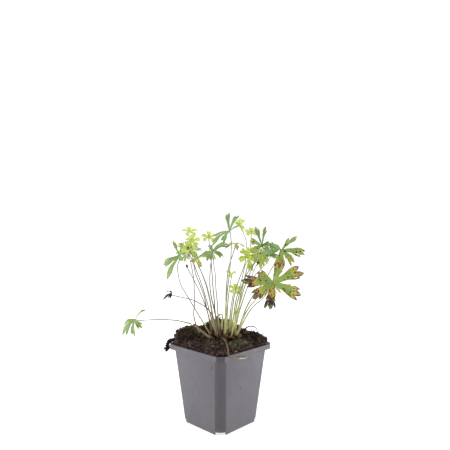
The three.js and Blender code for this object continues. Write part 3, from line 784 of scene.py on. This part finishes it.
def make_stalk(name, node, foot_radius, tip_radius, tone, reach=0.0):
    """A stalk along its CAD tube, with fine hairs; reach lengthens it to meet the leaf."""
    rng = random.Random(node)
    line = centreline(node)
    if reach:
        ahead = (line[-1] - line[-2]).normalized()
        line.append(line[-1] + ahead * reach)
    path = smooth_path(line, 2.2 * MM)
    shift = Vector((rng.uniform(0, 90), rng.uniform(0, 90), 0))
    last = len(path) - 1
    for i in range(1, last):
        sway = noise.noise_vector(path[i] * 60 + shift) * 0.5 * MM
        path[i] += sway * math.sin(math.pi * i / last)
    shares = [i / last for i in range(last + 1)]
    radii = [foot_radius + (tip_radius - foot_radius) * min(1, share * 1.25) ** 0.7 for share in shares]
    radii = [r * (1 + 0.10 * noise.noise(p * 220 + shift)) for r, p in zip(radii, path)]
    if reach:
        radii[-2] *= 1.25
        radii[-1] *= 1.35
    build = Build("along", "tone")
    points, faces = tube(path, radii, STALK_SIDES)
    build.add(points, faces, along=[s for s in shares for _ in range(STALK_SIDES)], tone=tone)
    for _ in range(int(last * HAIRS_PER_STEP)):
        i = rng.randrange(1, last)
        ahead = (path[i + 1] - path[i]).normalized()
        out = (Matrix.Rotation(rng.uniform(0, 6.28), 3, ahead) @ ahead.orthogonal()).normalized()
        root = path[i] + out * radii[i] * 0.8
        tip = root + (out + ahead * rng.uniform(-0.3, 0.5)) * rng.uniform(0.5, 1.1) * MM
        hair, sides_of = tube([root, tip], [0.045 * MM, 0.012 * MM], 3)
        build.add(hair, sides_of, along=shares[i], tone=tone)
    build.piece(name, STALK, replaces=[node])
    return path


def make_stalks():
    for name in HEALTH:
        rng = random.Random(name + " tone")
        rightward = RIGHT.dot(centreline(f"{name}_stem")[0]) / MM
        bright = max(0.0, min(1.0, (rightward + 8) / 14))
        tone = rng.uniform(0.0, 0.12) if name in DARK_STALKS else 0.5 + 0.5 * bright - rng.uniform(0, 0.12)
        make_stalk(f"{name}_stalk", f"{name}_stem", FOOT_RADIUS * (0.85 + 0.35 * bright),
                   TIP_RADIUS * rng.uniform(0.85, 1.15), tone, reach=1.1 * MM)
    path = make_stalk("budded_stalk", "bud_stalk", 0.8 * MM, 0.45 * MM, 0.1)
    rng = random.Random("bud")
    build = Build("along", "tone")
    for shift, size in ((Vector((0, 0, 0.6)), 1.7), (Vector((-1.6, 1.2, 1.8)), 1.2)):
        points, faces = lump(path[-1] + shift * MM, size * MM, rng, level=2, rough=0.15)
        build.add(points, faces, along=1.0, tone=0.0)
    build.piece("bud", STALK)


# ---- crown -----------------------------------------------------------------------------------------
def scale_leaf(foot, heading, height, width, curl):
    """A pointed papery scale that wraps a stalk's foot: closed, thin, cupped."""
    across = heading.cross(UP).normalized()
    rows, columns = 7, 5
    front = []
    back = []
    for i in range(rows):
        u = i / (rows - 1)
        half = width * (1 - u) ** 0.6 * (0.65 + 0.9 * u * (1 - u) * 2)
        for k in range(columns):
            v = k / (columns - 1) * 2 - 1
            out = heading * (curl * u * u - 0.45 * width * v * v * (1 - u))
            point = foot + UP * (height * u) + across * (half * v) + out
            front.append(point + heading * 0.12 * MM)
            back.append(point - heading * 0.12 * MM)
    faces = []
    count = rows * columns
    for i in range(rows - 1):
        for k in range(columns - 1):
            a = i * columns + k
            quad = (a, a + 1, a + columns + 1, a + columns)
            faces.append(quad)
            faces.append(tuple(j + count for j in reversed(quad)))
    faces += [(b, a, a + count, b + count) for a, b in border(faces[::2])]
    return front + back, faces


def make_crown():
    rng = random.Random("crown")
    low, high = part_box("crown")
    solid = surface_of("crown")
    build = Build("tone")
    feet = [centreline(node)[0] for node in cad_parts
            if node.endswith("_stem") or node in ("bud_stalk", "young_shoot")]
    middle = (low + high) / 2
    feet = [foot for foot in feet if (foot - middle).length < 0.03]
    for _ in range(46):
        x = rng.uniform(low.x, high.x)
        y = rng.uniform(low.y, high.y)
        hit = solid.ray_cast(Vector((x, y, 1)), -UP)[0]
        if hit is None:
            continue
        size = rng.uniform(1.8, 3.6) * MM
        points, faces = lump(Vector((x, y, hit.z - size * 0.55)), size, rng, level=2, rough=0.4)
        build.add(points, faces, tone=rng.uniform(0.05, 0.5))
    for foot in feet:
        for _ in range(4):
            angle = rng.uniform(0, 6.28)
            heading = Vector((math.cos(angle), math.sin(angle), 0))
            spot = foot + heading * rng.uniform(0.7, 1.4) * MM - UP * 0.5 * MM
            height = rng.uniform(4.5, 11) * MM
            width = rng.uniform(0.9, 1.8) * MM
            curl = rng.uniform(0, 2) * MM
            points, faces = scale_leaf(spot, heading, height, width, curl)
            build.add(points, faces, tone=min(1.0, rng.uniform(0.15, 0.75) + (0.25 if foot.x > 0.004 else 0)))
    build.piece("rootstock", ROOTSTOCK, replaces=["crown"])
    shoot = Build("along", "tone")
    line = centreline("young_shoot")
    top = line[-1] - line[0]
    for k in range(5):
        angle = k * 1.3
        heading = Vector((math.cos(angle), math.sin(angle), 0))
        foot = line[0] + heading * 0.9 * MM
        height = top.length * (1.0 - 0.13 * k)
        points, faces = scale_leaf(foot, heading, height, 1.9 * MM, (0.4 + 0.3 * k) * MM)
        lean = Vector((top.x, top.y, 0)) / top.length
        points = [p + lean * (p.z - foot.z) for p in points]
        shoot.add(points, faces, along=0.05, tone=1.0)
    path = smooth_path(line, 2 * MM)
    points, faces = tube(path, [1.2 * MM * (1 - 0.6 * i / len(path)) for i in range(len(path))], 10)
    shoot.add(points, faces, along=0.05, tone=1.0)
    shoot.piece("pale_shoot", STALK, replaces=["young_shoot"])


# ---- soil ------------------------------------------------------------------------------------------
def surface_of(node):
    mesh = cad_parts[node].data
    return BVHTree.FromPolygons([v.co for v in mesh.vertices], [tuple(p.vertices) for p in mesh.polygons])


RINGS = 74
SPOKES = 240
SOIL = surface_of("soil")
POT_LOW, POT_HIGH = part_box("pot")
RIM_TOP = POT_HIGH.z


def soil_reach(angle, z):
    """How far the CAD soil goes from the pot's axis at a height."""
    out = Vector((math.cos(angle), math.sin(angle), 0))
    hit = SOIL.ray_cast(out * 0.1 + UP * z, -out)[0]
    return Vector((hit.x, hit.y)).length


def clods(point):
    """Relief of the peat: clods, crumbs and grit."""
    big = noise.noise(point * 95) * 2.6
    cell = noise.voronoi(point * 260)[0]
    middle = (cell[1] - cell[0]) * 2.2 - 0.7
    small = noise.noise(point * 620) * 0.9 + noise.noise(point * 1500) * 0.45
    return (big + middle + small) * MM


def ground(x, y):
    hit = SOIL.ray_cast(Vector((x, y, 1)), -UP)[0]
    return hit.z if hit is not None else None


def patch(point, spots, spread):
    """1 inside the patches round the spots, given as the viewer sees them, 0 outside."""
    value = 0.0
    for right, away in spots:
        spot = RIGHT * right - BACK * away
        gap = math.hypot(point.x - spot.x, point.y - spot.y) / spread
        value = max(value, 1 - gap)
    return max(0.0, min(1.0, value * 2))


MOSS = ((-0.012, -0.012), (0.014, -0.022), (0.026, -0.016), (-0.03, 0.01), (0.01, 0.04), (-0.02, 0.035))


def make_soil():
    build = Build("tone", "moss")
    points = []
    edge_z = RIM_TOP + 0.6 * MM
    reach = [soil_reach(2 * math.pi * k / SPOKES, edge_z) for k in range(SPOKES)]
    for ring in range(RINGS):
        share = 1 - (ring / RINGS) ** 1.05
        for k in range(SPOKES):
            angle = 2 * math.pi * k / SPOKES
            out = Vector((math.cos(angle), math.sin(angle), 0))
            ragged = 1 - 0.035 * (0.5 + 0.5 * noise.noise(out * 9)) - 0.012 * noise.noise(out * 40)
            flat = out * reach[k] * share * ragged
            z = ground(flat.x * 0.995, flat.y * 0.995) or edge_z
            rise = clods(Vector((flat.x, flat.y, z * 0.6)))
            fade = min(1.0, ring / 5)
            z = z + rise * (0.35 + 0.65 * fade) - (1 - fade) * 0.4 * MM
            points.append(Vector((flat.x, flat.y, max(z, RIM_TOP + 0.15 * MM))))
    faces = []
    for ring in range(RINGS - 1):
        for k in range(SPOKES):
            j = (k + 1) % SPOKES
            a, b = ring * SPOKES, (ring + 1) * SPOKES
            faces.append((a + k, a + j, b + j, b + k))
    middle = len(points)
    points.append(sum(points[-SPOKES:], Vector()) / SPOKES)
    last = (RINGS - 1) * SPOKES
    faces += [(last + k, last + (k + 1) % SPOKES, middle) for k in range(SPOKES)]
    lower = [(RIM_TOP + 0.12 * MM, 1.0), (RIM_TOP + 0.1 * MM, None), (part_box("soil")[0].z + 0.5 * MM, None)]
    previous = 0
    for level, (z, share) in enumerate(lower):
        start = len(points)
        for k in range(SPOKES):
            angle = 2 * math.pi * k / SPOKES
            out = Vector((math.cos(angle), math.sin(angle), 0))
            under_rim = min(z, RIM_TOP - 1.5 * MM) + 0.2 * MM
            width = reach[k] * 0.955 if share else soil_reach(angle, under_rim) - 0.1 * MM
            points.append(out * width + UP * z)
        faces += [(previous + (k + 1) % SPOKES, previous + k, start + k, start + (k + 1) % SPOKES)
                  for k in range(SPOKES)]
        previous = start
    faces.append(tuple(previous + k for k in reversed(range(SPOKES))))
    tones = [0.30 + 0.45 * noise.noise(p * 210) + 0.35 * noise.noise(p * 900) for p in points]
    build.add(points, faces, tone=tones, moss=[patch(p, MOSS, 0.013) for p in points])
    build.piece("peat", PEAT, replaces=["soil"])


def on_soil(rng, inside=0.97):
    """A random place on the soil's top."""
    while True:
        x = rng.uniform(POT_LOW.x, POT_HIGH.x) * inside
        y = rng.uniform(POT_LOW.y, POT_HIGH.y) * inside
        z = ground(x, y)
        if z is not None and z > RIM_TOP:
            return Vector((x, y, z + clods(Vector((x, y, z * 0.6)))))


# Loose roots and dead leaf stalks that stand out of the soil: route, radius and tone.
TWIGS = (
    (((26, 12, 100), (31, 12, 106.5), (37, 13, 108.5), (43, 14, 107), (46, 15, 100)), 0.9, 0.12),
    (((38, 14, 101), (39, 13, 107), (42, 12, 110)), 0.4, 0.25),
    (((48, 8, 96), (51, 7, 101), (55, 5, 99), (57, 4, 94)), 0.4, 0.3),
    (((-6, 26, 108), (-5, 26, 116), (-2, 25, 121), (0, 25, 119)), 1.0, 0.06),
    (((-3, 27, 108), (-2, 27, 114), (1, 27, 117)), 0.9, 0.08),
    (((-14, 27, 110), (-15, 26, 117), (-12, 26, 120)), 0.5, 0.1),
    (((-20, 24, 106), (-22, 23, 112), (-25, 22, 112)), 0.45, 0.15),
    (((-44, 6, 103), (-49, 5, 110), (-52, 4, 107)), 0.45, 0.12),
    (((-55, 3, 94), (-60, 2, 96), (-63, 1, 90), (-62, 0, 84)), 0.5, 0.1),
    (((14, -28, 98), (20, -31, 100.5), (27, -30, 97)), 0.35, 0.55),
    (((-22, -24, 95), (-16, -29, 98), (-9, -32, 96)), 0.35, 0.6),
)


CLUMP_LUMPS = 90
CLUMP_ROOTS = 90


def make_rim_clump():
    """A wad of rooty peat that hangs over the rim's left corner."""
    rng = random.Random("rim clump")
    clump = Build("tone", "moss")
    route = [seen(-54, 2, 95), seen(-59, 1, 94.5), seen(-62.5, 0, 91), seen(-63.5, -1, 84)]
    spine = smooth_path(route, 0.5 * MM)
    for _ in range(CLUMP_LUMPS):
        spot = rng.choice(spine) + Vector([rng.gauss(0, 1.3) * MM for _ in range(3)])
        points, faces = lump(spot, rng.uniform(0.5, 1.5) * MM, rng, level=2, rough=0.45)
        clump.add(points, faces, tone=rng.uniform(0.05, 0.4), moss=0.0)
    for _ in range(CLUMP_ROOTS):
        root = rng.choice(spine)
        away = Vector((rng.gauss(0, 1), rng.gauss(0, 1), rng.uniform(-1.6, 0.5))).normalized()
        length = rng.uniform(2, 5) * MM
        bend = Vector((rng.gauss(0, 1), rng.gauss(0, 1), -0.6)) * 0.25 * length
        path = [root + away * length * t + bend * t * t for t in (0, 0.35, 0.7, 1)]
        points, faces = tube(path, [r * MM for r in (0.22, 0.18, 0.12, 0.05)], 5)
        clump.add(points, faces, tone=rng.uniform(0.1, 0.5), moss=0.0)
    clump.piece("rim_clump", PEAT)


CRUMBS = 1500
PALE_CRUMB_EVERY = 40    # one crumb in this many is bark or grit that stands out pale
RIM_CRUMBS = 150
FIBRES = 520
BARK_CHIPS = 70
MOSS_SHOOTS = 900


def make_litter():
    """Crumbs, fibres, bark and moss that lie on the soil."""
    rng = random.Random("litter")
    crumbs = Build("tone", "moss")
    for i in range(CRUMBS):
        spot = on_soil(rng)
        size = rng.choice((0.5, 0.7, 0.9, 1.2, 1.7)) * rng.uniform(0.7, 1.2) * MM
        tone = min(1.0, max(0.0, rng.gauss(0.42, 0.2)))
        if i % PALE_CRUMB_EVERY == 0:
            tone = rng.uniform(0.8, 1.0)
        points, faces = lump(spot + UP * size * 0.25, size, rng, level=2 if size > 1.3 * MM else 1)
        build_moss = patch(spot, MOSS, 0.012) * 0.8
        crumbs.add(points, faces, tone=tone, moss=build_moss)
    for _ in range(RIM_CRUMBS):
        side = rng.randrange(4)
        across = rng.uniform(-1, 1) * POT_HIGH.x * 0.9
        out = POT_HIGH.x - rng.uniform(0.6, 4.2) * MM
        spot = Matrix.Rotation(side * math.pi / 2, 3, "Z") @ Vector((out, across, RIM_TOP))
        size = rng.uniform(0.25, 0.8) * MM
        points, faces = lump(spot + UP * size * 0.5, size, rng)
        crumbs.add(points, faces, tone=rng.uniform(0.1, 0.7), moss=0.0)
    crumbs.piece("soil_crumbs", PEAT)
    fibres = Build("tone", "moss")
    for _ in range(FIBRES):
        spot = on_soil(rng)
        angle = rng.uniform(0, 6.28)
        heading = Vector((math.cos(angle), math.sin(angle), rng.uniform(-0.1, 0.5)))
        length = rng.uniform(3, 11) * MM
        bend = Vector((-heading.y, heading.x, rng.uniform(-0.6, 0.5))) * rng.uniform(-0.5, 0.5)
        shares = (0, 0.2, 0.4, 0.6, 0.8, 1)
        path = [spot + heading * length * t + bend * length * t * t - UP * 0.4 * MM for t in shares]
        radius = rng.uniform(0.08, 0.24) * MM
        points, faces = tube(path, [radius * r for r in (1, 1, 0.95, 0.85, 0.7, 0.4)], 5)
        fibres.add(points, faces, tone=min(1.0, max(0.1, rng.gauss(0.5, 0.22))), moss=0.0)
    for _ in range(BARK_CHIPS):
        spot = on_soil(rng)
        size = rng.uniform(1.2, 2.6) * MM
        points, faces = lump(Vector(), size, rng, level=2, rough=0.2)
        tilt = Matrix.Rotation(rng.uniform(-0.6, 0.6), 3, "X")
        tilt = tilt @ Matrix.Rotation(rng.uniform(-0.6, 0.6), 3, "Y")
        points = [spot + tilt @ Vector((p.x * 1.3, p.y * 0.7, p.z * 0.22)) + UP * 0.4 * MM for p in points]
        fibres.add(points, faces, tone=rng.uniform(0.45, 0.85), moss=0.0)
    for route, radius, tone in TWIGS:
        path = smooth_path([seen(*place) for place in route], 1.2 * MM)
        count = len(path) - 1
        radii = []
        for i, p in enumerate(path):
            radii.append(radius * MM * (1 - 0.6 * i / count) * (1 + 0.2 * noise.noise(p * 400)))
        points, faces = tube(path, radii, 7)
        fibres.add(points, faces, tone=tone, moss=0.0)
    fibres.piece("soil_fibres", PEAT)
    moss = Build("along", "tone")
    count = 0
    while count < MOSS_SHOOTS:
        spot = on_soil(rng)
        if rng.random() > patch(spot, MOSS, 0.011) ** 2:
            continue
        count += 1
        lean = Vector((rng.uniform(-0.5, 0.5), rng.uniform(-0.5, 0.5), 1)).normalized()
        length = rng.uniform(0.7, 1.9) * MM
        path = [spot - UP * 0.2 * MM, spot + lean * length * 0.5, spot + lean * length]
        points, faces = tube(path, [0.16 * MM, 0.2 * MM, 0.04 * MM], 4)
        moss.add(points, faces, along=rng.uniform(0.6, 1.0), tone=1.0)
    moss.piece("moss", STALK)


# ---- dead pieces -------------------------------------------------------------------------------------
def make_dead():
    rng = random.Random("dead")
    build = Build("tone")
    path = smooth_path(centreline("dead_runner"), 1.2 * MM)
    radii = [1.25 * MM * (1 + 0.16 * noise.noise(p * 400)) for p in path]
    points, faces = tube(path, radii, 12)
    build.add(points, faces, tone=[0.62 + 0.3 * noise.noise(p * 500) for p in points])
    for end, size in ((path[0], 2.3), (path[-1], 1.7)):
        for _ in range(3):
            shift = Vector([rng.uniform(-0.8, 0.8) * MM for _ in range(3)])
            points, faces = lump(end + shift, size * rng.uniform(0.6, 0.9) * MM, rng, level=2)
            build.add(points, faces, tone=rng.uniform(0.1, 0.35))
    build.piece("old_runner", DRY, replaces=["dead_runner"])
    build = Build("tone")
    path = smooth_path(centreline("dry_stalk"), 1.4 * MM)
    if path[0].z < path[-1].z:
        path.reverse()
    radii = [0.62 * MM * (1 + 0.25 * noise.noise(p * 330)) for p in path]
    points, faces = tube(path, radii, 10)
    build.add(points, faces, tone=[0.5 + 0.4 * noise.noise(p * 260) for p in points])
    for i in range(9):
        shift = Vector((rng.uniform(-0.5, 0.5), rng.uniform(-0.5, 0.5), rng.uniform(-0.6, 0.3))) * MM
        spot = path[-1 - i] + shift
        points, faces = lump(spot, rng.uniform(0.9, 1.6) * MM, rng, level=2)
        build.add(points, faces, tone=rng.uniform(0.85, 1.0))
    build.piece("dried_stalk", DRY, replaces=["dry_stalk"])


# ---- pot ---------------------------------------------------------------------------------------------
CORNER_SLANT = 0.6    # a face turned further than this from the diagonal isn't in a corner strip with painted shade


def make_pot():
    """The CAD pot with its moulded edges softened. Its corner strips are marked for darker painted shade."""
    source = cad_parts["pot"].data
    shell = bmesh.new()
    shell.from_mesh(source)
    bmesh.ops.remove_doubles(shell, verts=shell.verts, dist=0.01 * MM)
    bmesh.ops.dissolve_limit(shell, angle_limit=math.radians(0.6), verts=shell.verts, edges=shell.edges)
    mesh = bpy.data.meshes.new("nursery_pot")
    shell.to_mesh(mesh)
    shell.free()
    mesh.materials.append(PLASTIC)
    pot = bpy.data.objects.new("nursery_pot", mesh)
    bpy.context.scene.collection.objects.link(pot)
    bevel = pot.modifiers.new("moulded edges", "BEVEL")
    bevel.width = 0.4 * MM
    bevel.segments = 2
    bevel.limit_method = "ANGLE"
    bevel.angle_limit = math.radians(28)
    bpy.context.view_layer.objects.active = pot
    bpy.ops.object.modifier_apply(modifier=bevel.name)
    pot.data.polygons.foreach_set("use_smooth", [True] * len(pot.data.polygons))
    pot.data.set_sharp_from_angle(angle=math.radians(24))
    # Painted shade: the upright faces near the diagonals, the corner strips, are marked to be painted darker.
    corner_shade = pot.data.attributes.new("corner_shade", "FLOAT", "FACE")
    for face in pot.data.polygons:
        slant = abs(abs(face.normal.x) - abs(face.normal.y))
        corner_shade.data[face.index].value = float(slant < CORNER_SLANT and abs(face.normal.z) < 0.3)
    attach(pot, "root")
    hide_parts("pot")


# ---- floor and light -----------------------------------------------------------------------------------
LEFT_POWER = 7.5
RIGHT_POWER = 8
TOP_POWER = 5
SIDE_SKY = 0.55    # brightness of the studio all round, and of its dark side in front of the pot
FRONT_SKY = 0.02
FLOOR_REACH = 12   # half the floor's width, in metres


def soft_light(name, place, size, power, colour=(1, 1, 1)):
    data = bpy.data.lights.new(name, "AREA")
    data.shape = "DISK"
    data.size = size
    data.energy = power
    data.color = colour
    light = bpy.data.objects.new(name, data)
    light.location = place
    light.rotation_euler = (place - Vector((0, 0, 0.12))).to_track_quat("Z", "Y").to_euler()
    bpy.context.scene.collection.objects.link(light)


def make_stage():
    paint = Paint("floor white", 0.9)
    paint.colour((0.6, 0.6, 0.6, 1))
    apart = paint.add("ShaderNodeVectorMath", operation="LENGTH")
    paint.feed(apart.inputs[0], paint.place)
    glow = paint.step(apart.outputs["Value"], 0.05, 0.6, 0.74, 0.92)
    paint.feed(paint.shader.inputs["Emission Color"], (1, 1, 1, 1))
    paint.feed(paint.shader.inputs["Emission Strength"], glow)
    mesh = bpy.data.meshes.new("floor")
    side = FLOOR_REACH
    corners = [(-side, -side, 0), (side, -side, 0), (side, side, 0), (-side, side, 0)]
    mesh.from_pydata(corners, [], [(0, 1, 2, 3)])
    mesh.materials.append(paint.material)
    floor = bpy.data.objects.new("floor", mesh)
    floor.location.z = -0.2 * MM
    bpy.context.scene.collection.objects.link(floor)
    world = bpy.data.worlds.new("studio")
    bpy.context.scene.world = world
    world.use_nodes = True
    tree = world.node_tree
    lit = tree.nodes["Background"]
    lit.inputs["Color"].default_value = (1, 1, 1, 1)
    heading = tree.nodes.new("ShaderNodeTexCoord")
    towards = tree.nodes.new("ShaderNodeVectorMath")
    towards.operation = "DOT_PRODUCT"
    towards.inputs[1].default_value = BACK
    tree.links.new(heading.outputs["Generated"], towards.inputs[0])
    fall = tree.nodes.new("ShaderNodeMapRange")
    fall.interpolation_type = "SMOOTHSTEP"
    tree.links.new(towards.outputs["Value"], fall.inputs[0])
    for socket, value in zip(list(fall.inputs)[1:], (0.2, 0.9, SIDE_SKY, FRONT_SKY)):
        socket.default_value = value
    tree.links.new(fall.outputs[0], lit.inputs["Strength"])
    backdrop = tree.nodes.new("ShaderNodeBackground")
    backdrop.inputs["Color"].default_value = (1, 1, 1, 1)
    both = tree.nodes.new("ShaderNodeMixShader")
    path = tree.nodes.new("ShaderNodeLightPath")
    tree.links.new(path.outputs["Is Camera Ray"], both.inputs[0])
    tree.links.new(lit.outputs[0], both.inputs[1])
    tree.links.new(backdrop.outputs[0], both.inputs[2])
    tree.links.new(both.outputs[0], tree.nodes["World Output"].inputs["Surface"])
    soft_light("left soft", RIGHT * -1.15 - BACK * 0.05 + UP * 0.45, 0.9, LEFT_POWER)
    soft_light("right soft", RIGHT * 1.15 - BACK * 0.05 + UP * 0.45, 0.9, RIGHT_POWER)
    soft_light("top soft", BACK * -0.25 + UP * 1.3, 0.9, TOP_POWER)


make_camera()
make_pot()
make_soil()
make_litter()
make_rim_clump()
make_crown()
make_stalks()
make_leaves()
make_dead()
make_stage()
bpy.context.scene.view_settings.view_transform = "Standard"
